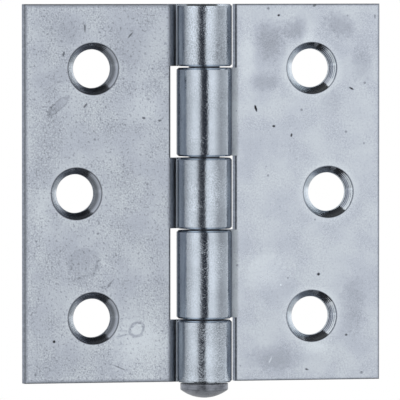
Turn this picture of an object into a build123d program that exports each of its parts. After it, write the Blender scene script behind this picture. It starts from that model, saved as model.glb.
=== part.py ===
from build123d import *
import os
from math import asin, atan2, cos, degrees, hypot, radians, sin, tan

# Loose pin butt hinge: two leaves of rolled sheet steel, interleaved on a pin that draws out.
# The pin axis is Z, X runs across the opened leaves, and the countersunk faces look along -Y.
# The origin is on the pin axis, halfway between the top of the knuckles and the crown of the head.
# All lengths are in millimetres and all angles in degrees.

# Leaf sheet
LEAF_WIDTH = 36.25  # from the pin axis to a leaf's outer edge
SHEET = 2.3
CLOSED_GAP = 2.0  # between the countersunk faces when the hinge is shut
EDGE_ROUND = 0.25  # roll-over that the press leaves along the front of a cut edge

# Knuckles
END_KNUCKLE = 12.3  # lengths along the pin
MIDDLE_KNUCKLE = 14.0
SWINGING_KNUCKLE = 17.5
KNUCKLE_GAP = 0.35  # along the pin, between neighbouring knuckles
NOTCH_CLEARANCE = 1.1  # across the pin, from a knuckle to the notch of the other leaf
BEND_SETBACK = 0.7  # from the notch line to the line where the sheet starts to bend
SWAGE_RADIUS = 1.0  # inside radius of the bend that sets the knuckle back behind the leaf
SEAM_GAP = 0.25  # from the end of the roll to the plane of the leaf's front face
RIM_CHAMFER = 0.35  # on the outer rims of a knuckle
ROLL_END_ROUND = 0.5  # on the outer corner of the roll's end

# Screw holes
HOLE_DIAMETER = 7.7
COUNTERSINK_DEPTH = 1.3
COUNTERSINK_ANGLE = 90.0
OUTER_HOLE_MARGIN = 13.95  # from the leaf's outer edge to the top and bottom holes
MIDDLE_HOLE_MARGIN = 10.55  # from the leaf's outer edge to the hole between them
HOLE_END_MARGIN = 12.8  # from the leaf's end to the nearest hole

# Pin
PIN_DIAMETER = 6.2
PIN_CLEARANCE = 0.1  # radial, in the rolled bore
HEAD_OVERHANG = 1.65  # of the head, beyond the shank
HEAD_RIM = 1.2
HEAD_CROWN = 1.65
HEAD_ROUND = 0.3  # where the rim turns into the dome
HEAD_SEAT_GAP = 0.3  # between the head and the knuckle above it
TIP_SETBACK = 0.6  # of the tip, inside the top knuckle
TIP_CHAMFER = 0.7

# Sizes that follow from those above
BORE_RADIUS = PIN_DIAMETER / 2 + PIN_CLEARANCE
KNUCKLE_RADIUS = BORE_RADIUS + SHEET
FRONT_FACE = CLOSED_GAP / 2
BACK_FACE = FRONT_FACE + SHEET
NOTCH_EDGE = KNUCKLE_RADIUS + NOTCH_CLEARANCE
BEND_LINE = NOTCH_EDGE + BEND_SETBACK
KNUCKLE_LENGTHS = (END_KNUCKLE, SWINGING_KNUCKLE, MIDDLE_KNUCKLE, SWINGING_KNUCKLE, END_KNUCKLE)
LEAF_HEIGHT = sum(KNUCKLE_LENGTHS) + (len(KNUCKLE_LENGTHS) - 1) * KNUCKLE_GAP
HEAD_HEIGHT = HEAD_RIM + HEAD_CROWN
LEAF_TOP = (LEAF_HEIGHT + HEAD_SEAT_GAP + HEAD_HEIGHT) / 2
LEAF_BOTTOM = LEAF_TOP - LEAF_HEIGHT
HEAD_SEAT = LEAF_BOTTOM - HEAD_SEAT_GAP


def arc(centre, radius, start, end):
    """An arc about a centre, from one angle to another."""
    angles = [radians(angle) for angle in (start, (start + end) / 2, end)]
    return ThreePointArc([centre + Vector(radius * cos(a), radius * sin(a)) for a in angles])


def knuckle_section():
    """The rolled end of a leaf on the -X side, seen along the pin.

    From the bend line the sheet bends back and runs straight down a slope. It is then rolled round
    the pin, behind it, past its far side and over its front, until it nearly meets the leaf again.
    """
    pin_axis = Vector(0, 0)
    bend_centre = Vector(-BEND_LINE, BACK_FACE + SWAGE_RADIUS)
    reach = hypot(bend_centre.X, bend_centre.Y)
    rise = asin((KNUCKLE_RADIUS + SWAGE_RADIUS) / reach)
    slope = degrees(rise - atan2(bend_centre.Y, BEND_LINE))
    roll_start = 90 + slope
    roll_end = -180 - degrees(asin((FRONT_FACE - SEAM_GAP) / KNUCKLE_RADIUS))

    front_bend = arc(bend_centre, SWAGE_RADIUS + SHEET, -90, slope - 90)
    back_bend = arc(bend_centre, SWAGE_RADIUS, -90, slope - 90)
    bore = arc(pin_axis, BORE_RADIUS, roll_start, roll_end)
    barrel = arc(pin_axis, KNUCKLE_RADIUS, roll_start, roll_end)
    slopes = [Line(front_bend @ 1, bore @ 0), Line(back_bend @ 1, barrel @ 0)]
    ends = [Line(front_bend @ 0, back_bend @ 0), Line(bore @ 1, barrel @ 1)]
    section = make_face(Curve() + [front_bend, back_bend, bore, barrel, *slopes, *ends])
    roll_corner = section.vertices().sort_by_distance(barrel @ 1)[0]
    return fillet(roll_corner, ROLL_END_ROUND)


def knuckle(bottom, length):
    """One knuckle of the -X leaf, with the outer rims of its barrel eased."""
    solid = extrude(Pos(0, 0, bottom) * knuckle_section(), length, dir=(0, 0, 1))
    rims = solid.edges().filter_by(GeomType.CIRCLE).group_by(SortBy.RADIUS)[-1]
    return chamfer(rims, RIM_CHAMFER)


def sheet_block(left, bottom, width, height):
    """A rectangle of the -X leaf's flat sheet, placed by its lower left corner."""
    block = Box(width, SHEET, height, align=(Align.MIN, Align.MIN, Align.MIN))
    return Pos(left, FRONT_FACE, bottom) * block


def leaf_plate(knuckles):
    """The flat of the -X leaf, with roll-over along the front of its cut edges.

    It reaches to the notch line, and only to the bend line beside each (bottom, length) of a knuckle.
    """
    plate = sheet_block(-LEAF_WIDTH, LEAF_BOTTOM, LEAF_WIDTH - NOTCH_EDGE, LEAF_HEIGHT)
    front = plate.faces().sort_by(Axis.Y)[0]
    bends = [sheet_block(-BEND_LINE, bottom, BEND_SETBACK, length) for bottom, length in knuckles]
    return fillet(front.edges(), EDGE_ROUND) - bends


def countersunk_hole():
    """The space of one screw hole, with its mouth at the origin and its axis along Y."""
    top = (Align.CENTER, Align.CENTER, Align.MAX)
    hole_radius = HOLE_DIAMETER / 2
    mouth_radius = hole_radius + COUNTERSINK_DEPTH * tan(radians(COUNTERSINK_ANGLE / 2))
    hole = Cylinder(hole_radius, SHEET, align=top)
    countersink = Cone(hole_radius, mouth_radius, COUNTERSINK_DEPTH, align=top)
    return Rot(90, 0, 0) * (hole + countersink)


def hole_places():
    """The three staggered screw holes of the -X leaf, as places on its front face."""
    outer_x = OUTER_HOLE_MARGIN - LEAF_WIDTH
    middle_x = MIDDLE_HOLE_MARGIN - LEAF_WIDTH
    return [
        Pos(outer_x, FRONT_FACE, LEAF_BOTTOM + HOLE_END_MARGIN),
        Pos(middle_x, FRONT_FACE, LEAF_BOTTOM + LEAF_HEIGHT / 2),
        Pos(outer_x, FRONT_FACE, LEAF_TOP - HOLE_END_MARGIN),
    ]


def leaf(knuckles):
    """A leaf on the -X side, with the knuckles at the given (bottom, length) pairs."""
    blank = leaf_plate(knuckles) + [knuckle(bottom, length) for bottom, length in knuckles]
    return blank - [place * countersunk_hole() for place in hole_places()]


def knuckle_places():
    """The (bottom, length) pair of each knuckle, from the bottom up."""
    places = []
    bottom = LEAF_BOTTOM
    for length in KNUCKLE_LENGTHS:
        places.append((bottom, length))
        bottom += length + KNUCKLE_GAP
    return places


def loose_pin():
    """The pin, turned about Z, with a domed head under the bottom knuckle and a chamfered tip."""
    shank_radius = PIN_DIAMETER / 2
    head_radius = shank_radius + HEAD_OVERHANG
    crown = HEAD_SEAT - HEAD_HEIGHT
    tip = LEAF_TOP - TIP_SETBACK
    dome_radius = (head_radius**2 + HEAD_CROWN**2) / (2 * HEAD_CROWN)
    dome = RadiusArc((0, crown), (head_radius, crown + HEAD_CROWN), -dome_radius)
    outline = Polyline(
        dome @ 1,
        (head_radius, HEAD_SEAT),
        (shank_radius, HEAD_SEAT),
        (shank_radius, tip - TIP_CHAMFER),
        (shank_radius - TIP_CHAMFER, tip),
        (0, tip),
        dome @ 0,
    )
    profile = make_face(Curve() + [dome, outline])
    dome_corner = profile.vertices().sort_by_distance(dome @ 1)[0]
    return revolve(Plane.XZ * fillet(dome_corner, HEAD_ROUND), Axis.Z)


places = knuckle_places()
parts = {
    "three_knuckle_leaf": leaf(places[0::2]),
    "two_knuckle_leaf": mirror(leaf(places[1::2]), Plane.YZ),
    "loose_pin": loose_pin(),
}
os.makedirs("parts", exist_ok=True)
for name, shape in parts.items():
    export_step(shape, f"parts/{name}.step")
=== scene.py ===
import logging
import math
from dataclasses import dataclass
from enum import Enum
from functools import cached_property, reduce
from typing import Any, Sequence

import bmesh
import bpy
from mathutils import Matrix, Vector


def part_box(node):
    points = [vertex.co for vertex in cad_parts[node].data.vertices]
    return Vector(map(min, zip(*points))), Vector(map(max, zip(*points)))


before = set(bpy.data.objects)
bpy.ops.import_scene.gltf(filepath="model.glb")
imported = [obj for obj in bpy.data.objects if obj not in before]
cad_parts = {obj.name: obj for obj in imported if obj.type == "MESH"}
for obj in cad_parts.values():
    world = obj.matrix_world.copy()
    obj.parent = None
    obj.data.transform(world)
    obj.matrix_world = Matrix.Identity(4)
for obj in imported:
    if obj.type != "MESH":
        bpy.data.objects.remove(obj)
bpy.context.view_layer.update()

# Looks of a loose pin butt hinge: zinc-plated leaves, a darker pin, a small studio and the camera.
# Lengths are in metres and angles in degrees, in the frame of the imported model: the pin axis is Z,
# the countersunk faces look along -Y, and azimuth 0 looks along +Y.

MM = 0.001

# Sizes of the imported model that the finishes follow
BARREL_RADIUS = 5.5 * MM
NOTCH_REACH = 6.6 * MM  # from the pin axis to a notch
BEND_REACH = 7.3 * MM  # from the pin axis to where the sheet starts to bend
HOLE_RADIUS = 3.85 * MM
SINK_RADIUS = 5.15 * MM  # of a countersink's mouth
SINK_FLOOR = 2.3 * MM  # the Y of a countersink's foot
SHANK_RADIUS = 3.1 * MM
HEAD_SEAT = -36.225 * MM  # the height of the head's upper face

WHITE = (1.0, 1.0, 1.0)
ACROSS_PIN = (1.0, 1.0, 0.0)  # a scale that leaves out the height
ACROSS_HOLE = (1.0, 0.0, 1.0)  # a scale that leaves out the depth
FULL_TURN = 360.0
RAMP_MIDDLE = 0.5  # where azimuth 0 is on the wall's colour ramp
FLATTEN = 1000.0  # a size so large that the depth of a mark counts for nothing
MIX_INPUTS = (0, 6, 7)  # the Mix node's factor and two colours, which share their names with others
MIX_RESULT = 2
LOG = logging.getLogger("hinge")

Span = tuple[float, float]
Triple = tuple[float, float, float]
Socket = bpy.types.NodeSocket


def beyond(size: float, start: float, end: float) -> Span:
    """Places a span, given in mm, from a size."""
    return size + start * MM, size + end * MM


class Side(Enum):
    """The side of the pin that a leaf lies on, as the sign of its X."""

    LEFT = -1
    RIGHT = 1


class MarkShape(Enum):
    """How a mark on a leaf is filled."""

    SPOT = "spot"
    RING = "ring"


class Graph:
    """A small builder for the nodes of one material or world."""

    def __init__(self, tree: bpy.types.NodeTree) -> None:
        """Empties the tree and keeps it.

        Args:
            tree: The node tree to fill.
        """
        self.tree = tree
        self.tree.nodes.clear()

    def node(self, kind: str, inputs: dict[Any, Any] | None = None, **settings: Any) -> bpy.types.Node:
        """Adds a node.

        Args:
            kind: The node's type name in Blender.
            inputs: Sockets to link, or values to set, by the input's name or number.
            settings: Properties of the node itself.

        Returns:
            The new node.
        """
        node = self.tree.nodes.new(kind)
        for name, value in settings.items():
            setattr(node, name, value)
        for key, value in (inputs or {}).items():
            self.feed(node.inputs[key], value)
        return node

    def feed(self, socket: Socket, value: Any) -> None:
        """Links a socket to an input, or sets the input's own value.

        Args:
            socket: The input to feed.
            value: A socket to link, or a constant.
        """
        if isinstance(value, bpy.types.NodeSocket):
            self.tree.links.new(value, socket)
        elif socket.type == "RGBA" and len(value) == 3:
            socket.default_value = (*value, 1.0)
        else:
            socket.default_value = value

    def math(self, operation: str, *values: Any) -> Socket:
        """Works out a number from one to three others, by an operation of the Math node."""
        return self.node("ShaderNodeMath", dict(enumerate(values)), operation=operation).outputs[0]

    def fold(self, operation: str, *values: Any) -> Any:
        """Works any count of numbers together, one after another."""
        return reduce(lambda result, value: self.math(operation, result, value), values)

    def total(self, *values: Any) -> Any:
        """Adds numbers up."""
        return self.fold("ADD", *values)

    def product(self, *values: Any) -> Any:
        """Multiplies numbers, or finds where all of some masks overlap."""
        return self.fold("MULTIPLY", *values)

    def either(self, *masks: Socket) -> Socket:
        """Joins masks: the result is the largest of them."""
        return self.fold("MAXIMUM", *masks)

    def outside(self, mask: Socket) -> Socket:
        """Turns a mask round: the result is 1 less the mask."""
        return self.math("SUBTRACT", 1.0, mask)

    def clamp(self, value: Socket) -> Socket:
        """Keeps a number between 0 and 1."""
        return self.node("ShaderNodeClamp", {"Value": value}).outputs[0]

    def ease(self, value: Socket, low: float, high: float) -> Socket:
        """Eases a number from 0 at low to 1 at high; high may be the smaller of the two."""
        inputs = {"Value": value, "From Min": low, "From Max": high}
        return self.node("ShaderNodeMapRange", inputs, interpolation_type="SMOOTHSTEP").outputs["Result"]

    def pick(self, mask: Socket, without: Any, within: Any) -> Socket:
        """Picks one number where a mask is 0 and another where it is 1."""
        inputs = {"Value": mask, "To Min": without, "To Max": within}
        return self.node("ShaderNodeMapRange", inputs).outputs["Result"]

    def sway(self, value: Socket, amount: float) -> Socket:
        """Centres a noise from 0 to 1 on 0, and scales it to leave 0 by the amount at most."""
        return self.math("MULTIPLY_ADD", value, 2 * amount, -amount)

    def stretch(self, vector: Socket, scale: Triple) -> Socket:
        """Stretches coordinates by a factor along each axis."""
        return self.node("ShaderNodeMapping", {"Vector": vector, "Scale": scale}).outputs[0]

    def length(self, vector: Socket) -> Socket:
        """Measures the length of a vector."""
        return self.node("ShaderNodeVectorMath", {0: vector}, operation="LENGTH").outputs["Value"]

    def axes(self, vector: Socket) -> tuple[Socket, Socket, Socket]:
        """Splits a vector into its X, Y and Z."""
        outputs = self.node("ShaderNodeSeparateXYZ", {0: vector}).outputs
        return outputs[0], outputs[1], outputs[2]

    def mix(self, factor: Socket, first: Any, second: Any) -> Socket:
        """Mixes two colours: a factor of 0 gives the first, and 1 the second."""
        inputs = dict(zip(MIX_INPUTS, (factor, first, second)))
        return self.node("ShaderNodeMix", inputs, data_type="RGBA").outputs[MIX_RESULT]

    def bump(self, height: Any, depth: float, normal: Any = None) -> Socket:
        """Turns a height into a normal.

        Args:
            height: A height.
            depth: What a height of 1 stands for, in metres.
            normal: A normal to start from.

        Returns:
            The normal's socket.
        """
        inputs = {"Height": height, "Distance": depth, "Strength": 1.0}
        if normal is not None:
            inputs["Normal"] = normal
        return self.node("ShaderNodeBump", inputs).outputs[0]

    def metal(
        self, colour: Socket, roughness: Socket, normal: Socket, edge: Triple, bare: Any = 1.0
    ) -> None:
        """Ends the tree in a metal surface.

        Args:
            colour: The metal's colour.
            roughness: Its roughness.
            normal: Its normal.
            edge: The tint of its reflection where it turns away.
            bare: 1 where the surface is metal and 0 where it is matte, as at the painted light.
        """
        inputs = {"Base Color": colour, "Roughness": roughness, "Normal": normal}
        shader = self.node("ShaderNodeBsdfPrincipled", {**inputs, "Metallic": bare, "Specular Tint": edge})
        self.surface(shader.outputs[0])

    def glow(self, colour: Any, strength: float = 1.0) -> Socket:
        """Adds a shader that glows."""
        return self.node("ShaderNodeEmission", {"Color": colour, "Strength": strength}).outputs[0]

    def surface(self, shader: Socket) -> None:
        """Ends the tree of a material in a shader."""
        self.node("ShaderNodeOutputMaterial", {"Surface": shader})


def new_material(name: str) -> bpy.types.Material:
    """Makes a material that has nodes.

    Args:
        name: The material's name.

    Returns:
        The material.
    """
    material = bpy.data.materials.new(name)
    material.use_nodes = True
    return material


@dataclass(frozen=True)
class Noise:
    """A noise in a finish.

    Attributes:
        size: The width of a patch.
        detail: How many finer layers it has.
        rough: How strong the finer layers are.
        span: The levels that become 0 and 1, where the noise is stretched.
    """

    size: float
    detail: float = 2.0
    rough: float = 0.6
    span: Span | None = None

    def read(self, graph: Graph, vector: Socket) -> Socket:
        """Adds the noise to a material.

        Args:
            graph: The material's nodes.
            vector: Where the noise is read.

        Returns:
            The noise's socket, from 0 to 1.
        """
        inputs = {"Vector": vector, "Scale": 1 / self.size, "Detail": self.detail, "Roughness": self.rough}
        level = graph.node("ShaderNodeTexNoise", inputs).outputs["Fac"]
        return graph.ease(level, *self.span) if self.span else level


@dataclass(frozen=True)
class Mark:
    """One mark on a leaf's face: a smear, stain, scratch, pit or rubbed patch.

    Attributes:
        x: Its place across the leaves from the pin axis, in mm.
        z: Its height, in mm.
        length: Its length, in mm.
        width: Its width, in mm.
        turn: How far its length leans up from level, in degrees.
        darkness: How much it darkens the plate; below 0 it is pale.
        shape: How it is filled.
        fray: How ragged its edge is.
        fade: Where it has faded out and where it is full, as shares of the way to its edge.
        line: How wide the line of a ring is, as a share of that way.
    """

    x: float
    z: float
    length: float
    width: float
    turn: float
    darkness: float
    shape: MarkShape = MarkShape.SPOT
    fray: float = 0.7
    fade: Span = (1.15, 0.25)
    line: float = 0.25

    def shade(self, graph: Graph, coords: Socket, wander: Socket) -> Socket:
        """Paints the mark.

        Args:
            graph: The material's nodes.
            coords: Object coordinates.
            wander: A noise that frays the mark's edge.

        Returns:
            How much the mark darkens each point.
        """
        inputs = {
            "Vector": coords,
            "Location": (self.x * MM, 0.0, self.z * MM),
            "Rotation": (0.0, -math.radians(self.turn), 0.0),
            "Scale": (self.length * MM / 2, FLATTEN, self.width * MM / 2),
        }
        local = graph.node("ShaderNodeMapping", inputs, vector_type="TEXTURE").outputs[0]
        reach = graph.total(graph.length(local), graph.sway(wander, self.fray))
        if self.shape is MarkShape.RING:
            off = graph.math("ABSOLUTE", graph.math("SUBTRACT", reach, 1.0))
            reach = graph.math("DIVIDE", off, self.line)
        return graph.product(graph.ease(reach, *self.fade), self.darkness)


@dataclass
class LeafGraph(Graph):
    """The nodes of a leaf's plate, with masks from 0 to 1 that tell the leaf's places apart.

    A span gives where a mask is 0, and then where it is 1.

    Attributes:
        tree: The node tree to fill.
        side: The side of the pin that the leaf lies on.
        width: From the pin axis to the leaf's outer edge.
        bottom: The height of its lower end.
        top: The height of its upper end.
        holes: The (x, z) places of its screw holes.
        knuckles: The (bottom, top) heights of its knuckles.
        front_span: The front with its countersinks, by Y.
        barrel_span: The knuckles, by the distance from the pin axis.
        sink_span: The countersinks, by the distance from a hole's axis.
        wall_span: The walls of the holes, by that distance.
        knuckle_span: The heights of a knuckle, by the way in from its ends.
        burr_span: The rim along a notch, by the way across from the pin axis.
        bend_span: The bend beside a knuckle, by that way.
        inner_span: The cut edges beside the knuckles, by that way.
        flank_front: The front of a knuckle's flank, by Y.
        flank_back: The back of a knuckle's flank, by Y.
        lip_span: The end of the roll beside the leaf's face, where a highlight is painted, by Y.
        roll_end: The way across from the pin axis to that painted highlight.
        rim_span: The cut edges, by the Y of the normal.
        front_rim_span: The nicked rim along their front, by the Y of the normal.
        end_span: The ends of a knuckle, by the Z of the normal.
    """

    tree: bpy.types.NodeTree
    side: Side
    width: float
    bottom: float
    top: float
    holes: tuple[Span, ...]
    knuckles: tuple[Span, ...]
    front_span: Span = beyond(SINK_FLOOR, 0.1, 0.0)
    barrel_span: Span = beyond(BARREL_RADIUS, 0.15, 0.05)
    sink_span: Span = beyond(SINK_RADIUS, 0.04, -0.04)
    wall_span: Span = beyond(HOLE_RADIUS, 0.06, 0.02)
    knuckle_span: Span = (-0.05 * MM, 0.05 * MM)
    burr_span: Span = beyond(NOTCH_REACH, 0.45, 0.3)
    bend_span: Span = beyond(BEND_REACH, 0.15, -0.8)
    inner_span: Span = beyond(BEND_REACH, 0.7, 0.0)
    flank_front: Span = (-3.8 * MM, -2.2 * MM)
    flank_back: Span = (2.5 * MM, 1.0 * MM)
    lip_span: Span = (-0.15 * MM, 0.1 * MM)
    roll_end: float = 5.2 * MM
    rim_span: Span = (0.98, 0.8)
    front_rim_span: Span = (0.15, 0.4)
    end_span: Span = (0.8, 0.95)

    def __post_init__(self) -> None:
        """Reads the place and the normal in the leaf's own frame, and splits them."""
        super().__init__(self.tree)
        texture = self.node("ShaderNodeTexCoord").outputs
        self.coords, self.normals = texture["Object"], texture["Normal"]
        self.x, self.y, self.z = self.axes(self.coords)
        self.reach = self.math("ABSOLUTE", self.x)
        _, self.facing, self.rising = [self.math("ABSOLUTE", axis) for axis in self.axes(self.normals)]

    def hole_reach(self, x: float, z: float) -> Socket:
        """Measures the distance from the axis of a hole at a place."""
        inputs = {"Vector": self.coords, "Location": (-x, 0.0, -z), "Scale": ACROSS_HOLE}
        return self.length(self.node("ShaderNodeMapping", inputs).outputs[0])

    def inside(self, low: float, high: float) -> Socket:
        """Measures the way in from the nearer of two heights."""
        return self.fold("MINIMUM", self.math("SUBTRACT", self.z, low), self.math("SUBTRACT", high, self.z))

    @cached_property
    def front(self) -> Socket:
        """The front of the leaf, down to the foot of its countersinks."""
        return self.ease(self.y, *self.front_span)

    @cached_property
    def rolled(self) -> Socket:
        """The rolled knuckles."""
        radius = self.length(self.stretch(self.coords, ACROSS_PIN))
        return self.ease(radius, *self.barrel_span)

    @cached_property
    def hole_distance(self) -> Socket:
        """The distance from the nearest hole's axis, in metres."""
        return self.fold("MINIMUM", *[self.hole_reach(*hole) for hole in self.holes])

    @cached_property
    def sink(self) -> Socket:
        """The countersinks."""
        return self.product(self.ease(self.hole_distance, *self.sink_span), self.front)

    @cached_property
    def walls(self) -> Socket:
        """The walls of the screw holes."""
        return self.ease(self.hole_distance, *self.wall_span)

    @cached_property
    def beside(self) -> Socket:
        """The heights that the leaf's own knuckles take up."""
        insides = [self.inside(*knuckle) for knuckle in self.knuckles]
        return self.either(*[self.ease(inside, *self.knuckle_span) for inside in insides])

    @cached_property
    def notch(self) -> Socket:
        """The burred rim along the notches."""
        near = self.ease(self.reach, *self.burr_span)
        return self.product(near, self.outside(self.beside), self.front)

    @cached_property
    def bend(self) -> Socket:
        """The front of the bends beside the knuckles, where the left leaf gets painted shade and the right
        leaf painted light.
        """
        near = self.ease(self.reach, *self.bend_span)
        return self.product(near, self.beside, self.outside(self.rolled), self.front)

    @cached_property
    def shaded_flanks(self) -> Socket:
        """The sides of the knuckles, where a painted shade stands for the darker reflection they show."""
        ends = [self.ease(self.y, *span) for span in (self.flank_front, self.flank_back)]
        return self.product(self.rolled, *ends)

    @cached_property
    def lip_highlight(self) -> Socket:
        """The end of the roll, beside the leaf's face, where a highlight is painted."""
        outer = self.math("GREATER_THAN", self.product(self.x, self.side.value), self.roll_end)
        return self.product(self.rolled, outer, self.ease(self.y, *self.lip_span))

    @cached_property
    def inset(self) -> Socket:
        """The distance in from the leaf's outer edge and its ends, in metres."""
        within = self.math("SUBTRACT", self.width, self.reach)
        return self.fold("MINIMUM", within, self.inside(self.bottom, self.top))

    @cached_property
    def rim(self) -> Socket:
        """The cut edges of the flat sheet."""
        flat = self.outside(self.either(self.rolled, self.sink))
        return self.product(self.ease(self.facing, *self.rim_span), flat)

    @cached_property
    def sheared(self) -> Socket:
        """The sheared edges: the sheet's rim, the knuckles' ends, the hole walls and the notches."""
        ends = self.product(self.ease(self.rising, *self.end_span), self.rolled)
        return self.either(self.rim, ends, self.walls, self.notch)

    @cached_property
    def inner(self) -> Socket:
        """The part of the leaf beside the knuckles."""
        return self.ease(self.reach, *self.inner_span)

    @cached_property
    def front_rim(self) -> Socket:
        """What faces the front, such as the nicked rim of a cut edge."""
        return self.ease(self.facing, *self.front_rim_span)


@dataclass(frozen=True)
class Countersinking:
    """How the plate is toned in and round the countersinks, with painted reflection and painted shade on
    their walls.

    Attributes:
        tones: The mean tones of the right and the left wall, painted reflections.
        turn: The X of the normal where the one tone starts to become the other, and where it ends.
        top: What the tone is multiplied by at the top, a painted shade.
        mouth_tone: The tone of the line round the mouth, a painted shade.
        halo: How much paler the leaf is round the mouth.
        rise: How far the right wall is below its mean at the foot, and above it at the mouth, a painted
            reflection.
        ledge_tone: The tone of the line where the right wall meets the hole.
        ring: How much the turned rings show.
        rings: The noise of those rings.
        rise_span: The foot and the mouth of the right wall, by the distance from the hole's axis.
        ledge_span: The line along the hole, by that distance.
        halo_span: The plate round the mouth, by that distance.
        mouth_span: The line round the mouth, by the distance from it.
        top_span: The top, by the Z of the normal.
    """

    tones: Span
    turn: Span
    top: float
    mouth_tone: float
    halo: float
    rise: float = 0.3
    ledge_tone: float = 0.1
    ring: float = 0.12
    rings: Noise = Noise(0.3 * MM, span=(0.3, 0.7))
    rise_span: Span = (HOLE_RADIUS + 0.4 * MM, SINK_RADIUS - 0.3 * MM)
    ledge_span: Span = beyond(HOLE_RADIUS, 0.25, 0.12)
    halo_span: Span = beyond(SINK_RADIUS, 1.8, 0.0)
    mouth_span: Span = (0.15 * MM, 0.05 * MM)
    top_span: Span = (-0.45, -0.68)

    def tone(self, leaf: LeafGraph, plain: Socket) -> Socket:
        """Paints reflection and shade on the countersinks, and tones the lines along them and the plate
        beside them.

        Args:
            leaf: The leaf's nodes.
            plain: The tone of the plate.

        Returns:
            The tone's socket.
        """
        # The two sides, the rise and the top of each countersink are painted reflection and shade.
        distance = leaf.hole_distance
        across, _, along = leaf.axes(leaf.normals)
        left = leaf.ease(across, *self.turn)
        rise = leaf.sway(leaf.ease(distance, *self.rise_span), self.rise)
        walls = leaf.pick(left, leaf.total(rise, self.tones[0]), self.tones[1])
        spread = leaf.node("ShaderNodeCombineXYZ", {0: distance}).outputs[0]
        cut = leaf.total(walls, leaf.sway(self.rings.read(leaf, spread), self.ring))
        cut = leaf.product(cut, leaf.pick(leaf.ease(along, *self.top_span), 1.0, self.top))
        ledge = leaf.product(leaf.ease(distance, *self.ledge_span), leaf.outside(left))
        cut = leaf.pick(ledge, cut, self.ledge_tone)
        haloed = leaf.math("MULTIPLY_ADD", leaf.ease(distance, *self.halo_span), self.halo, plain)
        off = leaf.math("ABSOLUTE", leaf.math("SUBTRACT", distance, SINK_RADIUS))
        mouth = leaf.ease(off, *self.mouth_span)
        return leaf.pick(mouth, leaf.pick(leaf.sink, haloed, cut), self.mouth_tone)


@dataclass(frozen=True)
class Pitting:
    """Dark flecks in the grain, and scattered pits.

    Attributes:
        fleck: How dark the flecks are.
        pit: How dark the pits are.
        on_roll: How much of both the knuckles keep.
        flecks: The noise of the flecks.
        spacing: The size of the cells that may hold a pit.
        share: The share of the cells that hold one.
        pit_span: Where a pit ends and where it is full, as shares of a cell.
    """

    fleck: float
    pit: float
    on_roll: float = 0.2
    flecks: Noise = Noise(0.5 * MM, 1.0, 0.5, (0.58, 0.7))
    spacing: float = 3.2 * MM
    share: float = 0.45
    pit_span: Span = (0.11, 0.05)

    def darkness(self, leaf: LeafGraph) -> Socket:
        """Scatters the flecks and pits.

        Args:
            leaf: The leaf's nodes.

        Returns:
            How much they darken each point.
        """
        inputs = {"Vector": leaf.coords, "Scale": 1 / self.spacing}
        cells = leaf.node("ShaderNodeTexVoronoi", inputs).outputs
        chosen = leaf.math("LESS_THAN", leaf.axes(cells["Color"])[0], self.share)
        pits = leaf.product(leaf.ease(cells["Distance"], *self.pit_span), chosen)
        flecks = leaf.product(self.flecks.read(leaf, leaf.coords), self.fleck)
        dark = leaf.math("MULTIPLY_ADD", pits, self.pit, flecks)
        return leaf.product(dark, leaf.pick(leaf.rolled, 1.0, self.on_roll))


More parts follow.
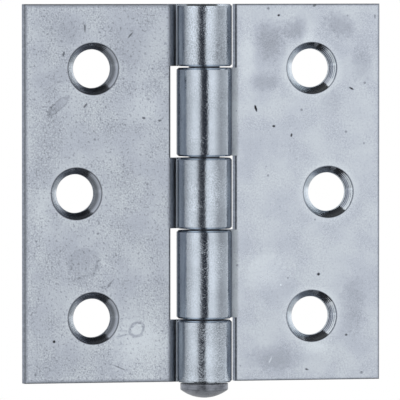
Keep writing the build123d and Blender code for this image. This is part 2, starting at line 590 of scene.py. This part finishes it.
@dataclass(frozen=True)
class ZincPlate:
    """Zinc plate over pressed sheet, burnished where rolled, dull where sheared, with painted shade and
    light in places.

    Attributes:
        name: The material's name.
        tone: The mean tone, from dull at 0 to pale at 1.
        cloud: How much the tone drifts.
        grain: How much the fine grain shows.
        grain_depth: Its depth on the flat.
        roll_depth: Its depth on the knuckles.
        lean: How far the roll leans from a true round, in degrees.
        flat_roughness: Roughness of the flat of a leaf.
        roll_roughness: Roughness of the knuckles.
        sink_roughness: Roughness of the countersinks.
        border: How much paler a leaf is along its cut edges.
        brink: What the tone is multiplied by at the brink of the leaf, a painted shade.
        brink_width: How far that reaches in.
        sinks: Its tones in and round the countersinks.
        pitting: Its flecks and pits.
        bore_tone: The tone of the walls of the screw holes, partly painted reflection.
        bend_shade: What the tone is multiplied by in the bends: painted shade below 1, painted light above
            it.
        bend_matte_light: How far the bends are made matte and pale as painted light, from 0 to 1.
        flank: What the tone is multiplied by on the sides of the knuckles, a painted shade.
        sheared_tone: The tone of the sheared outer edges, partly duller cut metal and partly painted
            reflection.
        notch_tone: The tone of the sheared edges beside the knuckles, partly duller cut metal and partly
            painted reflection.
        rim_tone: The tone of the nicked rim along their front, a painted dark line that stands for its
            reflection.
        burr: How much the burrs change those tones.
        fine: How strong the grain is away from the coarse patches.
        border_fray: How ragged the border is.
        border_span: Where the border ends and where it is full, in from the cut edges.
        brink_fray: How ragged the brink is.
        cloud_roughness: How much the roughness drifts.
        grit_roughness: How much the grain roughens the knuckles.
        sheared_roughness: Roughness of the sheared edges.
        matte_light_roughness: Roughness of the matte places that stand for painted light.
        dent_depth: How deep the dents are.
        lathe_pitch: From one turned line to the next.
        lathe_depth: How deep those lines are.
        burr_stretch: How the burrs are drawn out through the sheet.
        wander: The noise that frays marks and borders.
        clouds: The noise of the drifting tone.
        burrs: The noise of the burrs.
        dents: The noise of the dents.
        specks: The noise of the fine grain.
        patches: The noise of the coarse patches.
        pale: The plate's colour where it is brightest.
        shaded: Its bluer colour where its tone is low, as in stains and painted shade.
        burnished: Its colour on the rolled knuckles.
        dull: Its colour where it is dark.
        deep: Its colour at the bottom of a pit.
        edge: The tint of its reflection where it turns away.
        pale_span: The tones where the shaded colour ends and the pale one is full.
        deep_span: The tones where the deep colour starts and where it is full.
    """

    name: str
    tone: float
    cloud: float
    grain: float
    grain_depth: float
    roll_depth: float
    lean: float
    flat_roughness: float
    roll_roughness: float
    sink_roughness: float
    border: float
    brink: float
    brink_width: float
    sinks: Countersinking
    pitting: Pitting
    bore_tone: float
    bend_shade: float
    bend_matte_light: float
    flank: float = 0.4
    sheared_tone: float = 0.5
    notch_tone: float = 0.6
    rim_tone: float = 0.05
    burr: float = 0.4
    fine: float = 0.35
    border_fray: float = 1.5 * MM
    border_span: Span = (2.2 * MM, 0.5 * MM)
    brink_fray: float = 0.15 * MM
    cloud_roughness: float = 0.04
    grit_roughness: float = 0.05
    sheared_roughness: float = 0.45
    matte_light_roughness: float = 0.6
    dent_depth: float = 0.02 * MM
    lathe_pitch: float = 0.28 * MM
    lathe_depth: float = 0.0025 * MM
    burr_stretch: Triple = (1.0, 0.25, 1.0)
    wander: Noise = Noise(0.9 * MM, 3.0)
    clouds: Noise = Noise(7.0 * MM, 3.0, 0.55, (0.3, 0.7))
    burrs: Noise = Noise(0.5 * MM)
    dents: Noise = Noise(1.1 * MM, rough=0.5)
    specks: Noise = Noise(0.34 * MM, span=(0.28, 0.72))
    patches: Noise = Noise(6.0 * MM, rough=0.5, span=(0.4, 0.6))
    pale: Triple = (0.805, 0.87, 0.93)
    shaded: Triple = (0.75, 0.81, 0.925)
    burnished: Triple = (0.775, 0.86, 0.955)
    dull: Triple = (0.2, 0.22, 0.25)
    deep: Triple = (0.03, 0.03, 0.035)
    edge: Triple = (0.3, 0.31, 0.33)
    pale_span: Span = (0.5, 0.95)
    deep_span: Span = (-0.2, -0.7)

    def paint(self, leaf: LeafGraph, marks: Sequence[Mark]) -> None:
        """Paints a leaf.

        Args:
            leaf: The leaf's nodes, which are added to.
            marks: The marks on its face.
        """
        wander = self.wander.read(leaf, leaf.coords)
        clouds = self.clouds.read(leaf, leaf.coords)
        frayed = leaf.total(leaf.inset, leaf.sway(wander, self.border_fray))
        border = leaf.ease(frayed, *self.border_span)
        grit = self.grit(leaf, border)

        drift = leaf.math("MULTIPLY_ADD", grit, self.grain, leaf.sway(clouds, self.cloud))
        tone = leaf.total(self.tone, drift, leaf.product(border, self.border))
        tone = leaf.math("SUBTRACT", tone, self.pitting.darkness(leaf))
        stains = leaf.total(*[mark.shade(leaf, leaf.coords, wander) for mark in marks])
        tone = leaf.math("SUBTRACT", tone, leaf.product(stains, leaf.front))
        tone = leaf.pick(leaf.front, tone, self.sinks.tone(leaf, tone))
        tone = self.shade_and_wear(leaf, tone, wander)

        # The roll end and the right leaf's bends are made matte and pale: painted light.
        matte_light = leaf.either(leaf.lip_highlight, leaf.product(leaf.bend, self.bend_matte_light))
        roughness = self.roughness(leaf, clouds, grit, matte_light)
        normal = self.relief(leaf, grit)
        leaf.metal(self.colour(leaf, tone), roughness, normal, self.edge, leaf.outside(matte_light))

    def grit(self, leaf: LeafGraph, border: Socket) -> Socket:
        """Makes the fine grain, which is coarse in patches and along the cut edges.

        Args:
            leaf: The leaf's nodes.
            border: The mask of the cut edges.

        Returns:
            The grain's socket, from -1 to 1.
        """
        specks = self.specks.read(leaf, leaf.coords)
        patches = self.patches.read(leaf, leaf.coords)
        strength = leaf.pick(leaf.either(border, patches), self.fine, 1.0)
        return leaf.product(leaf.sway(specks, 1.0), strength)

    def shade_and_wear(self, leaf: LeafGraph, tone: Socket, wander: Socket) -> Socket:
        """Paints shade, light and a highlight on the leaf's brink, knuckles and bends, and tones the
        sheared edges.

        Args:
            leaf: The leaf's nodes.
            tone: The tone of the plate.
            wander: A noise that frays the brink.

        Returns:
            The tone's socket.
        """
        # The brink of the leaf gets a painted shade.
        frayed = leaf.total(leaf.inset, leaf.sway(wander, self.brink_fray))
        near = leaf.ease(frayed, self.brink_width, 0.0)
        brink = leaf.product(near, leaf.outside(leaf.rolled), leaf.front)
        # Painted shade on the knuckles' sides and the bends; a bend factor above 1 is painted light.
        shades = ((brink, self.brink), (leaf.shaded_flanks, self.flank), (leaf.bend, self.bend_shade))
        for mask, shade in shades:
            tone = leaf.pick(mask, tone, leaf.product(tone, shade))
        # The sheared edges and hole walls are partly painted reflection; the front rim is a painted dark
        # line.
        cut = leaf.pick(leaf.inner, self.sheared_tone, self.notch_tone)
        cut = leaf.pick(leaf.front_rim, cut, self.rim_tone)
        cut = leaf.pick(leaf.walls, cut, self.bore_tone)
        burrs = self.burrs.read(leaf, leaf.stretch(leaf.coords, self.burr_stretch))
        tone = leaf.pick(leaf.sheared, tone, leaf.total(cut, leaf.sway(burrs, self.burr)))
        # The end of the roll is painted full pale: a painted highlight.
        return leaf.pick(leaf.lip_highlight, tone, 1.0)

    def colour(self, leaf: LeafGraph, tone: Socket) -> Socket:
        """Turns tones into colours.

        Args:
            leaf: The leaf's nodes.
            tone: The tone of the plate.

        Returns:
            The colour's socket.
        """
        plate = leaf.mix(leaf.ease(tone, *self.pale_span), self.shaded, self.pale)
        plate = leaf.mix(leaf.rolled, plate, self.burnished)
        plate = leaf.mix(leaf.clamp(tone), self.dull, plate)
        return leaf.mix(leaf.ease(tone, *self.deep_span), plate, self.deep)

    def roughness(self, leaf: LeafGraph, clouds: Socket, grit: Socket, matte_light: Socket) -> Socket:
        """Roughens the plate.

        Args:
            leaf: The leaf's nodes.
            clouds: The noise of the drifting tone.
            grit: The fine grain.
            matte_light: The mask of the matte places that stand for painted light.

        Returns:
            The roughness's socket.
        """
        roughness = leaf.total(self.flat_roughness, leaf.sway(clouds, self.cloud_roughness))
        layers = (
            (leaf.rolled, leaf.math("MULTIPLY_ADD", grit, self.grit_roughness, self.roll_roughness)),
            (leaf.sink, self.sink_roughness),
            (leaf.sheared, self.sheared_roughness),
            (matte_light, self.matte_light_roughness),
        )
        for mask, layer in layers:
            roughness = leaf.pick(mask, roughness, layer)
        return roughness

    def relief(self, leaf: LeafGraph, grit: Socket) -> Socket:
        """Shapes the surface: the lean of the roll, the dents, the grain and the turned countersinks.

        Args:
            leaf: The leaf's nodes.
            grit: The fine grain.

        Returns:
            The normal's socket.
        """
        angle = leaf.math("ARCTAN2", leaf.x, leaf.product(leaf.y, -1.0))
        lean = leaf.product(angle, math.tan(math.radians(self.lean)))
        depth = leaf.pick(leaf.rolled, self.grain_depth, self.roll_depth)
        grain = leaf.product(grit, leaf.pick(leaf.sink, depth, 0.0))
        lines = leaf.math("SINE", leaf.product(leaf.hole_distance, 2 * math.pi / self.lathe_pitch))
        normal = leaf.bump(lean, BARREL_RADIUS)
        normal = leaf.bump(self.dents.read(leaf, leaf.coords), self.dent_depth, normal)
        normal = leaf.bump(grain, 1.0, normal)
        return leaf.bump(leaf.product(lines, leaf.sink), self.lathe_depth, normal)


@dataclass(frozen=True)
class PinSteel:
    """Drawn and upset steel, darker than the plate, with turning lines round it.

    Attributes:
        name: The material's name.
        pale: The steel where it is rubbed bright.
        dull: The steel where it is dull.
        edge: The tint of its reflection where it turns away.
        roughness: Its mean roughness.
        tone: The mean tone of the head, from dull at 0 to pale at 1.
        shank_shade: What the tone is multiplied by on the shank.
        shank_span: The shank, by the distance from the pin axis.
        seat_span: What is above the head, by its height.
        line_stretch: How the turning lines are drawn out round the pin.
        lines: The noise of the turning lines.
        clouds: The noise of the drifting tone.
        grain: The noise of the fine grain.
        sways: How much the lines, the clouds and the grain change the tone.
        cloud_roughness: How much the roughness drifts.
        line_depth: How deep the turning lines are.
        grain_depth: How deep the grain is.
    """

    name: str
    pale: Triple
    dull: Triple
    edge: Triple
    roughness: float
    tone: float = 0.5
    shank_shade: float = 0.4
    shank_span: Span = beyond(SHANK_RADIUS, 0.2, 0.05)
    seat_span: Span = beyond(HEAD_SEAT, -0.02, 0.02)
    line_stretch: Triple = (0.08, 0.08, 1.0)
    lines: Noise = Noise(0.2 * MM, 3.0, span=(0.3, 0.7))
    clouds: Noise = Noise(2.0 * MM, 3.0, span=(0.3, 0.7))
    grain: Noise = Noise(0.4 * MM)
    sways: Triple = (0.2, 0.25, 0.3)
    cloud_roughness: float = 0.08
    line_depth: float = 0.008 * MM
    grain_depth: float = 0.015 * MM

    def build(self) -> bpy.types.Material:
        """Makes the material.

        Returns:
            The material.
        """
        material = new_material(self.name)
        graph = Graph(material.node_tree)
        coords = graph.node("ShaderNodeTexCoord").outputs["Object"]
        lines = self.lines.read(graph, graph.stretch(coords, self.line_stretch))
        clouds = self.clouds.read(graph, coords)
        grain = self.grain.read(graph, coords)
        noises = zip((lines, clouds, grain), self.sways)
        tone = graph.total(self.tone, *[graph.sway(noise, sway) for noise, sway in noises])
        radius = graph.length(graph.stretch(coords, ACROSS_PIN))
        above_head = graph.ease(graph.axes(coords)[2], *self.seat_span)
        shank = graph.product(graph.ease(radius, *self.shank_span), above_head)
        tone = graph.pick(shank, tone, graph.product(tone, self.shank_shade))
        colour = graph.mix(graph.clamp(tone), self.dull, self.pale)
        roughness = graph.total(self.roughness, graph.sway(clouds, self.cloud_roughness))
        normal = graph.bump(grain, self.grain_depth, graph.bump(lines, self.line_depth))
        graph.metal(colour, roughness, normal, self.edge)
        return material


@dataclass(frozen=True)
class Leaf:
    """One leaf with its rolled knuckles.

    Attributes:
        node: The leaf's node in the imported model.
        side: The side of the pin that it lies on.
        finish: Its plate.
        marks: The marks on its face.
        knuckles: The (bottom, top) heights of its knuckles.
        outer_hole: From the pin axis to the top and bottom holes.
        middle_hole: From the pin axis to the hole between them.
        hole_spacing: Along the pin, from one hole to the next.
    """

    node: str
    side: Side
    finish: ZincPlate
    marks: tuple[Mark, ...]
    knuckles: tuple[Span, ...]
    outer_hole: float = 22.3 * MM
    middle_hole: float = 25.7 * MM
    hole_spacing: float = 24.7 * MM

    def dress(self) -> bpy.types.Object:
        """Gives the leaf its plate.

        Returns:
            The leaf's object.
        """
        low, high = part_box(self.node)
        sign = self.side.value
        middle = (low[2] + high[2]) / 2
        rows = ((-1, self.outer_hole), (0, self.middle_hole), (1, self.outer_hole))
        holes = tuple((sign * reach, middle + row * self.hole_spacing) for row, reach in rows)
        width = max(-low[0], high[0])
        material = new_material(self.finish.name)
        leaf = LeafGraph(material.node_tree, self.side, width, low[2], high[2], holes, self.knuckles)
        self.finish.paint(leaf, self.marks)
        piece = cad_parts[self.node]
        piece.data.materials[0] = material
        return piece


@dataclass(frozen=True)
class LoosePin:
    """The pin with its domed head.

    Attributes:
        node: The pin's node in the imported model.
        finish: Its steel.
    """

    node: str
    finish: PinSteel

    def dress(self) -> bpy.types.Object:
        """Gives the pin its steel.

        Returns:
            The pin's object.
        """
        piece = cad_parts[self.node]
        piece.data.materials[0] = self.finish.build()
        return piece


def add_object(name: str, data: bpy.types.ID) -> bpy.types.Object:
    """Adds an object to the scene.

    Args:
        name: The object's name.
        data: Its mesh, light or camera.

    Returns:
        The object.
    """
    added = bpy.data.objects.new(name, data)
    bpy.context.scene.collection.objects.link(added)
    return added


def stage_piece(
    name: str, mesh: bmesh.types.BMesh, material: bpy.types.Material, mirrored: bool = False
) -> None:
    """Adds a piece of the studio, which isn't part of the hinge.

    Args:
        name: The piece's name.
        mesh: Its shape, which is used up.
        material: Its material.
        mirrored: Whether it is seen in reflections only.
    """
    data = bpy.data.meshes.new(name)
    mesh.to_mesh(data)
    mesh.free()
    data.materials.append(material)
    piece = add_object(name, data)
    if mirrored:
        piece.visible_camera = piece.visible_diffuse = piece.visible_shadow = False


@dataclass(frozen=True)
class StudioWall:
    """A round wall of soft light, whose brightness changes round the hinge.

    Attributes:
        stops: The (azimuth, level) pairs from -180 to 180, where a level of 1 is white.
        lowest: The elevation of the wall's foot.
        highest: The elevation of its top.
        radius: How far it stands from the hinge.
        steps: How many flats make up the round.
        cast: What is added to a level for its red, green and blue.
    """

    stops: tuple[Span, ...]
    lowest: float = -12.0
    highest: float = 57.0
    radius: float = 2.4
    steps: int = 72
    cast: Triple = (0.0, 0.002, 0.012)

    def build(self) -> None:
        """Makes the wall."""
        mesh = bmesh.new()
        heights = [math.tan(math.radians(angle)) * self.radius for angle in (self.lowest, self.highest)]
        corners = [mesh.verts.new((0.0, self.radius, height)) for height in heights]
        edge = mesh.edges.new(corners)
        geom = [*corners, edge]
        axis = (0.0, 0.0, 1.0)
        bmesh.ops.spin(mesh, geom=geom, axis=axis, angle=2 * math.pi, steps=self.steps, use_merge=True)
        stage_piece("studio_wall", mesh, self.light(), mirrored=True)

    def light(self) -> bpy.types.Material:
        """Makes the wall's light.

        Returns:
            The material.
        """
        material = new_material("studio_wall_light")
        graph = Graph(material.node_tree)
        x, y, _ = graph.axes(graph.node("ShaderNodeTexCoord").outputs["Object"])
        azimuth = graph.math("ARCTAN2", x, graph.product(y, -1.0))
        share = graph.math("MULTIPLY_ADD", azimuth, 1 / math.tau, RAMP_MIDDLE)
        levels = graph.node("ShaderNodeValToRGB", {"Fac": share})
        elements = levels.color_ramp.elements
        while len(elements) < len(self.stops):
            elements.new(RAMP_MIDDLE)
        for element, (angle, level) in zip(elements, self.stops):
            element.position = RAMP_MIDDLE + angle / FULL_TURN
            element.color = (*(level + cast for cast in self.cast), 1.0)
        graph.surface(graph.glow(levels.outputs["Color"]))
        return material


@dataclass(frozen=True)
class Flag:
    """A level dark cloth near the hinge, that shows only in reflections.

    Attributes:
        name: Its name.
        centre: The place of its middle.
        width: Its size along X.
        depth: Its size along Y.
        level: Its brightness.
    """

    name: str
    centre: Triple
    width: float
    depth: float
    level: float

    def build(self) -> None:
        """Makes the cloth."""
        mesh = bmesh.new()
        bmesh.ops.create_grid(mesh, x_segments=1, y_segments=1, size=1.0)
        bmesh.ops.scale(mesh, verts=mesh.verts, vec=(self.width / 2, self.depth / 2, 1.0))
        bmesh.ops.translate(mesh, verts=mesh.verts, vec=self.centre)
        material = new_material(f"{self.name}_cloth")
        graph = Graph(material.node_tree)
        graph.surface(graph.glow(WHITE, self.level))
        stage_piece(self.name, mesh, material, mirrored=True)


@dataclass(frozen=True)
class SoftLamp:
    """A square soft lamp over the hinge, which lays its shadow on the floor and isn't mirrored.

    Attributes:
        place: Where it hangs, facing the hinge.
        size: Its width.
        power: Its power in watts.
    """

    place: Triple = (-0.25, -0.2, 0.9)
    size: float = 0.3
    power: float = 3.0

    def build(self) -> None:
        """Makes the lamp."""
        data = bpy.data.lights.new("soft_lamp", "AREA")
        data.size = self.size
        data.energy = self.power
        lamp = add_object("soft_lamp", data)
        lamp.location = self.place
        lamp.rotation_euler = (-Vector(self.place)).to_track_quat("-Z", "Y").to_euler()
        lamp.visible_camera = False
        lamp.visible_glossy = False


@dataclass(frozen=True)
class Studio:
    """A pale floor, a white surround, a soft lamp and the cards that the metal mirrors.

    Attributes:
        wall: The round wall of light.
        flags: The dark cloths.
        lamp: The soft lamp.
        floor_height: The floor, clear of the pin when it is drawn out.
        floor_reach: Half the floor's width.
        floor_colour: The floor's colour.
        floor_roughness: The floor's roughness.
        floor_fade: Where the floor starts to fade and where it has faded, as shares of its reach.
        ambient: The brightness of the surround on the floor.
    """

    wall: StudioWall
    flags: tuple[Flag, ...]
    lamp: SoftLamp
    floor_height: float = -0.13
    floor_reach: float = 0.9
    floor_colour: Triple = (0.82, 0.82, 0.82)
    floor_roughness: float = 0.8
    floor_fade: Span = (0.45, 0.95)
    ambient: float = 0.5

    def build(self) -> None:
        """Makes the floor, the surround, the lamp, the wall and the flags."""
        self.build_floor()
        self.build_surround()
        self.lamp.build()
        self.wall.build()
        for flag in self.flags:
            flag.build()

    def build_floor(self) -> None:
        """Makes the floor, which fades into the white surround."""
        mesh = bmesh.new()
        bmesh.ops.create_grid(mesh, x_segments=1, y_segments=1, size=self.floor_reach)
        bmesh.ops.translate(mesh, verts=mesh.verts, vec=(0.0, 0.0, self.floor_height))
        material = new_material("floor_paper")
        graph = Graph(material.node_tree)
        reach = graph.length(graph.node("ShaderNodeTexCoord").outputs["Object"])
        far = graph.ease(reach, *[share * self.floor_reach for share in self.floor_fade])
        faded = graph.product(far, self.seen(graph))
        inputs = {"Base Color": self.floor_colour, "Roughness": self.floor_roughness}
        paper = graph.node("ShaderNodeBsdfPrincipled", inputs).outputs[0]
        shader = graph.node("ShaderNodeMixShader", {0: faded, 1: paper, 2: graph.glow(WHITE)})
        graph.surface(shader.outputs[0])
        stage_piece("floor", mesh, material)

    def seen(self, graph: Graph) -> Socket:
        """Finds the rays that see the background, straight or in metal.

        Args:
            graph: The nodes of the floor or the surround.

        Returns:
            1 for such a ray and 0 for one that carries light.
        """
        path = graph.node("ShaderNodeLightPath").outputs
        return graph.either(path["Is Camera Ray"], path["Is Glossy Ray"], path["Is Transmission Ray"])

    def build_surround(self) -> None:
        """Makes the white surround, which lights the floor less than it shows."""
        world = bpy.data.worlds.new("surround")
        world.use_nodes = True
        graph = Graph(world.node_tree)
        strength = graph.math("MULTIPLY_ADD", self.seen(graph), 1.0 - self.ambient, self.ambient)
        back = graph.node("ShaderNodeBackground", {"Color": WHITE, "Strength": strength})
        graph.node("ShaderNodeOutputWorld", {"Surface": back.outputs[0]})
        bpy.context.scene.world = world


@dataclass(frozen=True)
class PhotoCamera:
    """The camera, far off, a little to the left of the hinge and above it.

    Attributes:
        azimuth: The camera's azimuth.
        elevation: Its elevation.
        distance: From the pin axis.
        view_width: The width that the picture takes in at the pin.
        aim_right: The picture's middle, to the right of the pin axis.
        aim_height: The height of the picture's middle.
        sensor: The sensor's width in millimetres.
    """

    azimuth: float = -13.5
    elevation: float = 2.0
    distance: float = 1.4
    view_width: float = 79.37 * MM
    aim_right: float = -0.83 * MM
    aim_height: float = 0.19 * MM
    sensor: float = 36.0

    def build(self) -> None:
        """Makes the camera and gives it to the scene."""
        data = bpy.data.cameras.new("photo_camera")
        data.sensor_width = self.sensor
        data.lens = self.sensor * self.distance / self.view_width
        camera = add_object("photo_camera", data)
        turn = math.radians(self.azimuth)
        rise = math.radians(self.elevation)
        level = Vector((math.sin(turn), -math.cos(turn), 0.0)) * math.cos(rise)
        back = level + Vector((0.0, 0.0, math.sin(rise)))
        right = Vector((math.cos(turn), math.sin(turn), 0.0))
        aim = right * self.aim_right + Vector((0.0, 0.0, self.aim_height))
        camera.location = aim + back * self.distance
        camera.rotation_euler = (-back).to_track_quat("-Z", "Y").to_euler()
        bpy.context.scene.camera = camera


LEFT_PLATE = ZincPlate(
    name="left_zinc_plate",
    tone=0.71,
    cloud=0.12,
    grain=0.2,
    grain_depth=0.011 * MM,
    roll_depth=0.006 * MM,
    lean=-2.6,
    flat_roughness=0.34,
    roll_roughness=0.14,
    sink_roughness=0.18,
    border=0.06,
    brink=0.2,
    brink_width=0.9 * MM,
    sinks=Countersinking(tones=(0.2, 0.95), turn=(0.2, 0.65), top=0.6, mouth_tone=-0.1, halo=0.05),
    pitting=Pitting(fleck=0.32, pit=0.4),
    bore_tone=0.2,
    bend_shade=0.3,
    bend_matte_light=0.0,
)

RIGHT_PLATE = ZincPlate(
    name="right_zinc_plate",
    tone=0.725,
    cloud=0.11,
    grain=0.1,
    grain_depth=0.005 * MM,
    roll_depth=0.005 * MM,
    lean=2.5,
    flat_roughness=0.28,
    roll_roughness=0.1,
    sink_roughness=0.1,
    border=0.0,
    brink=0.3,
    brink_width=0.6 * MM,
    sinks=Countersinking(tones=(0.8, 1.0), turn=(-0.6, 0.5), top=0.0, mouth_tone=0.1, halo=0.12),
    pitting=Pitting(fleck=0.08, pit=0.5),
    bore_tone=0.95,
    bend_shade=1.35,
    bend_matte_light=1.0,
)

DARK_STEEL = PinSteel(
    name="dark_pin_steel",
    pale=(0.4, 0.425, 0.48),
    dull=(0.12, 0.13, 0.15),
    edge=WHITE,
    roughness=0.33,
)

LEFT_MARKS = (
    Mark(-29.0, 33.5, 10.0, 7.0, 0.0, 0.14),
    Mark(-15.5, 30.5, 12.0, 12.0, 0.0, 0.1),
    Mark(-28.5, 25.0, 12.0, 4.0, 4.0, 0.1),
    Mark(-11.7, 19.0, 9.0, 9.0, 0.0, -0.12),
    Mark(-29.4, 19.0, 5.2, 2.2, 42.0, 0.2),
    Mark(-29.4, 19.0, 5.0, 1.6, 42.0, 0.25, MarkShape.RING, 0.8),
    Mark(-30.6, 16.9, 2.4, 1.4, 70.0, 0.22, MarkShape.RING, 0.8),
    Mark(-24.0, 34.4, 2.0, 0.42, 90.0, 0.9),
    Mark(-14.8, 32.9, 1.9, 0.38, 50.0, 0.75),
    Mark(-28.3, 29.3, 1.2, 0.5, 70.0, 0.9),
    Mark(-23.9, 19.0, 1.4, 0.55, 60.0, 0.8),
    Mark(-12.1, 16.5, 0.9, 0.5, -20.0, 1.0),
    Mark(-8.8, 16.0, 0.9, 0.5, 0.0, 0.9),
    Mark(-18.0, 4.0, 10.0, 6.0, 0.0, 0.08),
    Mark(-33.0, -4.0, 5.0, 20.0, 0.0, -0.1),
    Mark(-24.3, -12.2, 6.6, 6.0, 10.0, 0.13, MarkShape.SPOT, 0.35),
    Mark(-24.2, -12.2, 5.6, 5.2, 10.0, 0.1, MarkShape.RING, 0.3),
    Mark(-21.7, -12.9, 3.2, 0.7, 75.0, 0.22, MarkShape.SPOT, 0.4),
    Mark(-25.2, -15.6, 3.6, 2.4, -30.0, 0.1),
    Mark(-18.9, -16.3, 3.0, 0.5, 50.0, 0.45),
    Mark(-20.6, -17.0, 1.6, 0.6, -15.0, 0.3),
    Mark(-19.8, -12.4, 5.2, 0.25, -22.0, -0.35),
    Mark(-13.0, -29.0, 16.0, 16.0, 0.0, -0.24),
    Mark(-13.5, -25.4, 3.1, 2.5, 40.0, 0.36, MarkShape.RING, 0.35),
    Mark(-16.4, -26.6, 3.4, 0.45, 12.0, 0.3),
    Mark(-30.3, -27.6, 0.75, 0.65, 0.0, 1.9),
    Mark(-16.9, -33.0, 3.8, 0.35, -24.0, 0.5),
)

RIGHT_MARKS = (
    Mark(13.8, 31.5, 7.0, 10.0, 0.0, 0.26),
    Mark(19.0, 34.1, 7.0, 5.0, 10.0, 0.24),
    Mark(28.0, 34.7, 8.0, 5.5, -25.0, 0.26),
    Mark(32.5, 27.0, 5.0, 8.0, 0.0, 0.16),
    Mark(12.5, 23.6, 8.0, 4.5, 0.0, 0.16),
    Mark(26.4, 19.6, 6.0, 6.0, 0.0, 0.12),
    Mark(21.7, 33.0, 4.0, 6.0, 0.0, -0.16),
    Mark(9.0, 28.0, 4.0, 18.0, 0.0, -0.12),
    Mark(13.1, -14.0, 12.0, 9.0, 0.0, -0.12),
    Mark(14.6, -31.5, 13.0, 6.5, 0.0, 0.2),
    Mark(30.6, -21.0, 6.5, 14.0, 0.0, 0.14),
    Mark(23.1, -29.6, 8.0, 3.0, 0.0, -0.16),
    Mark(15.5, 36.8, 0.65, 0.5, 30.0, 1.6),
    Mark(10.8, 18.3, 1.6, 0.5, 108.0, 2.2, MarkShape.SPOT, 0.5),
    Mark(30.4, 22.2, 1.1, 0.5, -30.0, 1.7),
    Mark(14.5, 14.75, 0.65, 0.5, 0.0, 1.6),
    Mark(18.1, 12.95, 0.8, 0.5, 75.0, 1.6),
    Mark(22.8, 38.7, 0.9, 0.5, 20.0, 0.9),
    Mark(35.3, 36.6, 0.4, 1.1, 0.0, 0.6),
    Mark(23.7, -14.8, 0.8, 0.75, 0.0, 1.9),
    Mark(29.4, -27.0, 0.65, 0.55, 0.0, 1.1),
    Mark(21.3, -33.8, 0.85, 0.5, -20.0, 1.3),
    Mark(15.9, -16.9, 0.5, 0.35, -45.0, -0.6),
    Mark(13.8, -31.8, 2.2, 0.4, 65.0, -0.35),
)

LEFT_KNUCKLES = ((-35.925 * MM, -23.625 * MM), (-5.425 * MM, 8.575 * MM), (26.775 * MM, 39.075 * MM))
RIGHT_KNUCKLES = ((-23.275 * MM, -5.775 * MM), (8.925 * MM, 26.425 * MM))

WALL = StudioWall(
    stops=(
        (-180.0, 0.95), (-125.0, 0.8), (-105.0, 0.6), (-88.0, 0.55), (-78.0, 0.68),
        (-68.0, 0.82), (-58.0, 0.93), (-48.0, 0.9), (-40.0, 0.78), (-35.0, 0.5),
        (-30.0, 0.2), (-25.0, 0.06), (-10.0, 0.03), (-6.0, 0.1), (-2.0, 0.5),
        (3.0, 0.92), (20.0, 0.95), (32.0, 0.78), (45.0, 0.54), (56.0, 0.44),
        (77.0, 0.52), (90.0, 0.58), (97.0, 0.9), (104.0, 1.15), (125.0, 0.9),
        (180.0, 0.95),
    ),
)

FLAGS = (
    Flag("ceiling_flag", (0.0, 0.0, 1.4), 1.8, 1.8, 0.06),
    Flag("left_floor_flag", (-0.031, -0.0075, -0.125), 0.098, 0.045, 0.04),
    Flag("right_floor_flag", (0.075, -0.0075, -0.125), 0.062, 0.045, 0.04),
)


def main() -> None:
    """Dresses the hinge and sets up the studio and the camera."""
    logging.basicConfig(level=logging.INFO, format="%(name)s: %(message)s")
    pieces = [
        Leaf("three_knuckle_leaf", Side.LEFT, LEFT_PLATE, LEFT_MARKS, LEFT_KNUCKLES),
        Leaf("two_knuckle_leaf", Side.RIGHT, RIGHT_PLATE, RIGHT_MARKS, RIGHT_KNUCKLES),
        LoosePin("loose_pin", DARK_STEEL),
    ]
    for piece in pieces:
        dressed = piece.dress()
        LOG.info("%s wears %s", dressed.name, dressed.data.materials[0].name)
    Studio(WALL, FLAGS, SoftLamp()).build()
    PhotoCamera().build()
    bpy.context.scene.view_settings.view_transform = "Standard"


if __name__ == "__main__":
    main()
